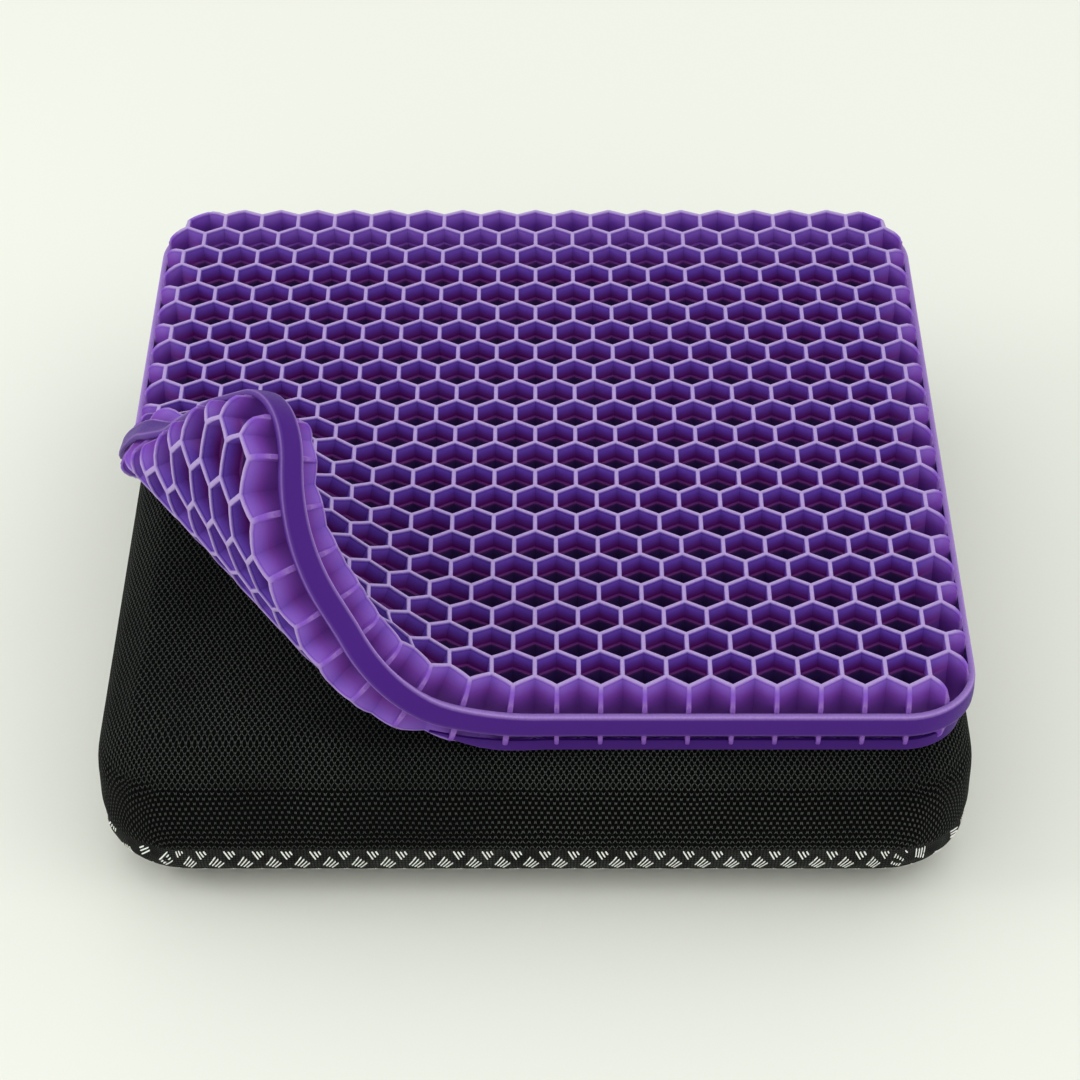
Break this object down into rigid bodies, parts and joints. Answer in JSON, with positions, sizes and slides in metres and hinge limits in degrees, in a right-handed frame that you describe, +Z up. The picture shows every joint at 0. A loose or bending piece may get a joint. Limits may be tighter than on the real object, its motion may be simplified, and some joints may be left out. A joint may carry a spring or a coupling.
{
  "type": "seat cushion",
  "caption": "Square seat cushion: a lift-off honeycomb gel pad with one corner peeled up, on a foam cushion in a zipped mesh cover.",
  "frame": {"origin": "on the floor, under the middle of the foam cushion", "axes": "+Z up through the cushion and the gel pad, -Y towards the front edge with the peeled corner at its left, +Y towards the zipper"},
  "size_m": [0.434, 0.445, 0.24],
  "materials": {
    "gel": "translucent elastic gel, satin moulded surface",
    "gel_band": "translucent elastic gel, satin moulded surface",
    "foam": "open cell cushion foam",
    "cover_mesh": "black warp knit mesh cloth",
    "grip_cloth": "black cloth printed with short white grip dashes",
    "zip_tape": "woven zipper tape",
    "zip_teeth": "black nylon teeth",
    "zip_metal": "grey plated zinc"
  },
  "bodies": {
    "cushion": {"foam_core": "foam", "cover_top": "cover_mesh", "cover_base": "grip_cloth", "zipper_tape_upper": "zip_tape", "zipper_tape_lower": "zip_tape", "zipper_teeth_upper": "zip_teeth", "zipper_teeth_lower": "zip_teeth", "zipper_stop_left": "zip_metal", "zipper_stop_right": "zip_metal"},
    "pad": {"gel_comb": "gel", "gel_band": "gel_band"},
    "slider": {"zipper_slider": "zip_metal"},
    "pull": {"zipper_pull": "zip_metal"}
  },
  "joints": [
    {"name": "pad_lift", "type": "slide", "parent": "cushion", "child": "pad", "axis": [0, 0, 1], "range_m": [0, 0.15]},
    {"name": "zipper_slide", "type": "slide", "parent": "cushion", "child": "slider", "axis": [1, 0, 0], "range_m": [0, 0.26]},
    {"name": "pull_turn", "type": "hinge", "parent": "slider", "child": "pull", "pos_m": [-0.13, 0.2231, 0.053], "axis": [0, 0, 1], "range_deg": [0, 170]}
  ]
}
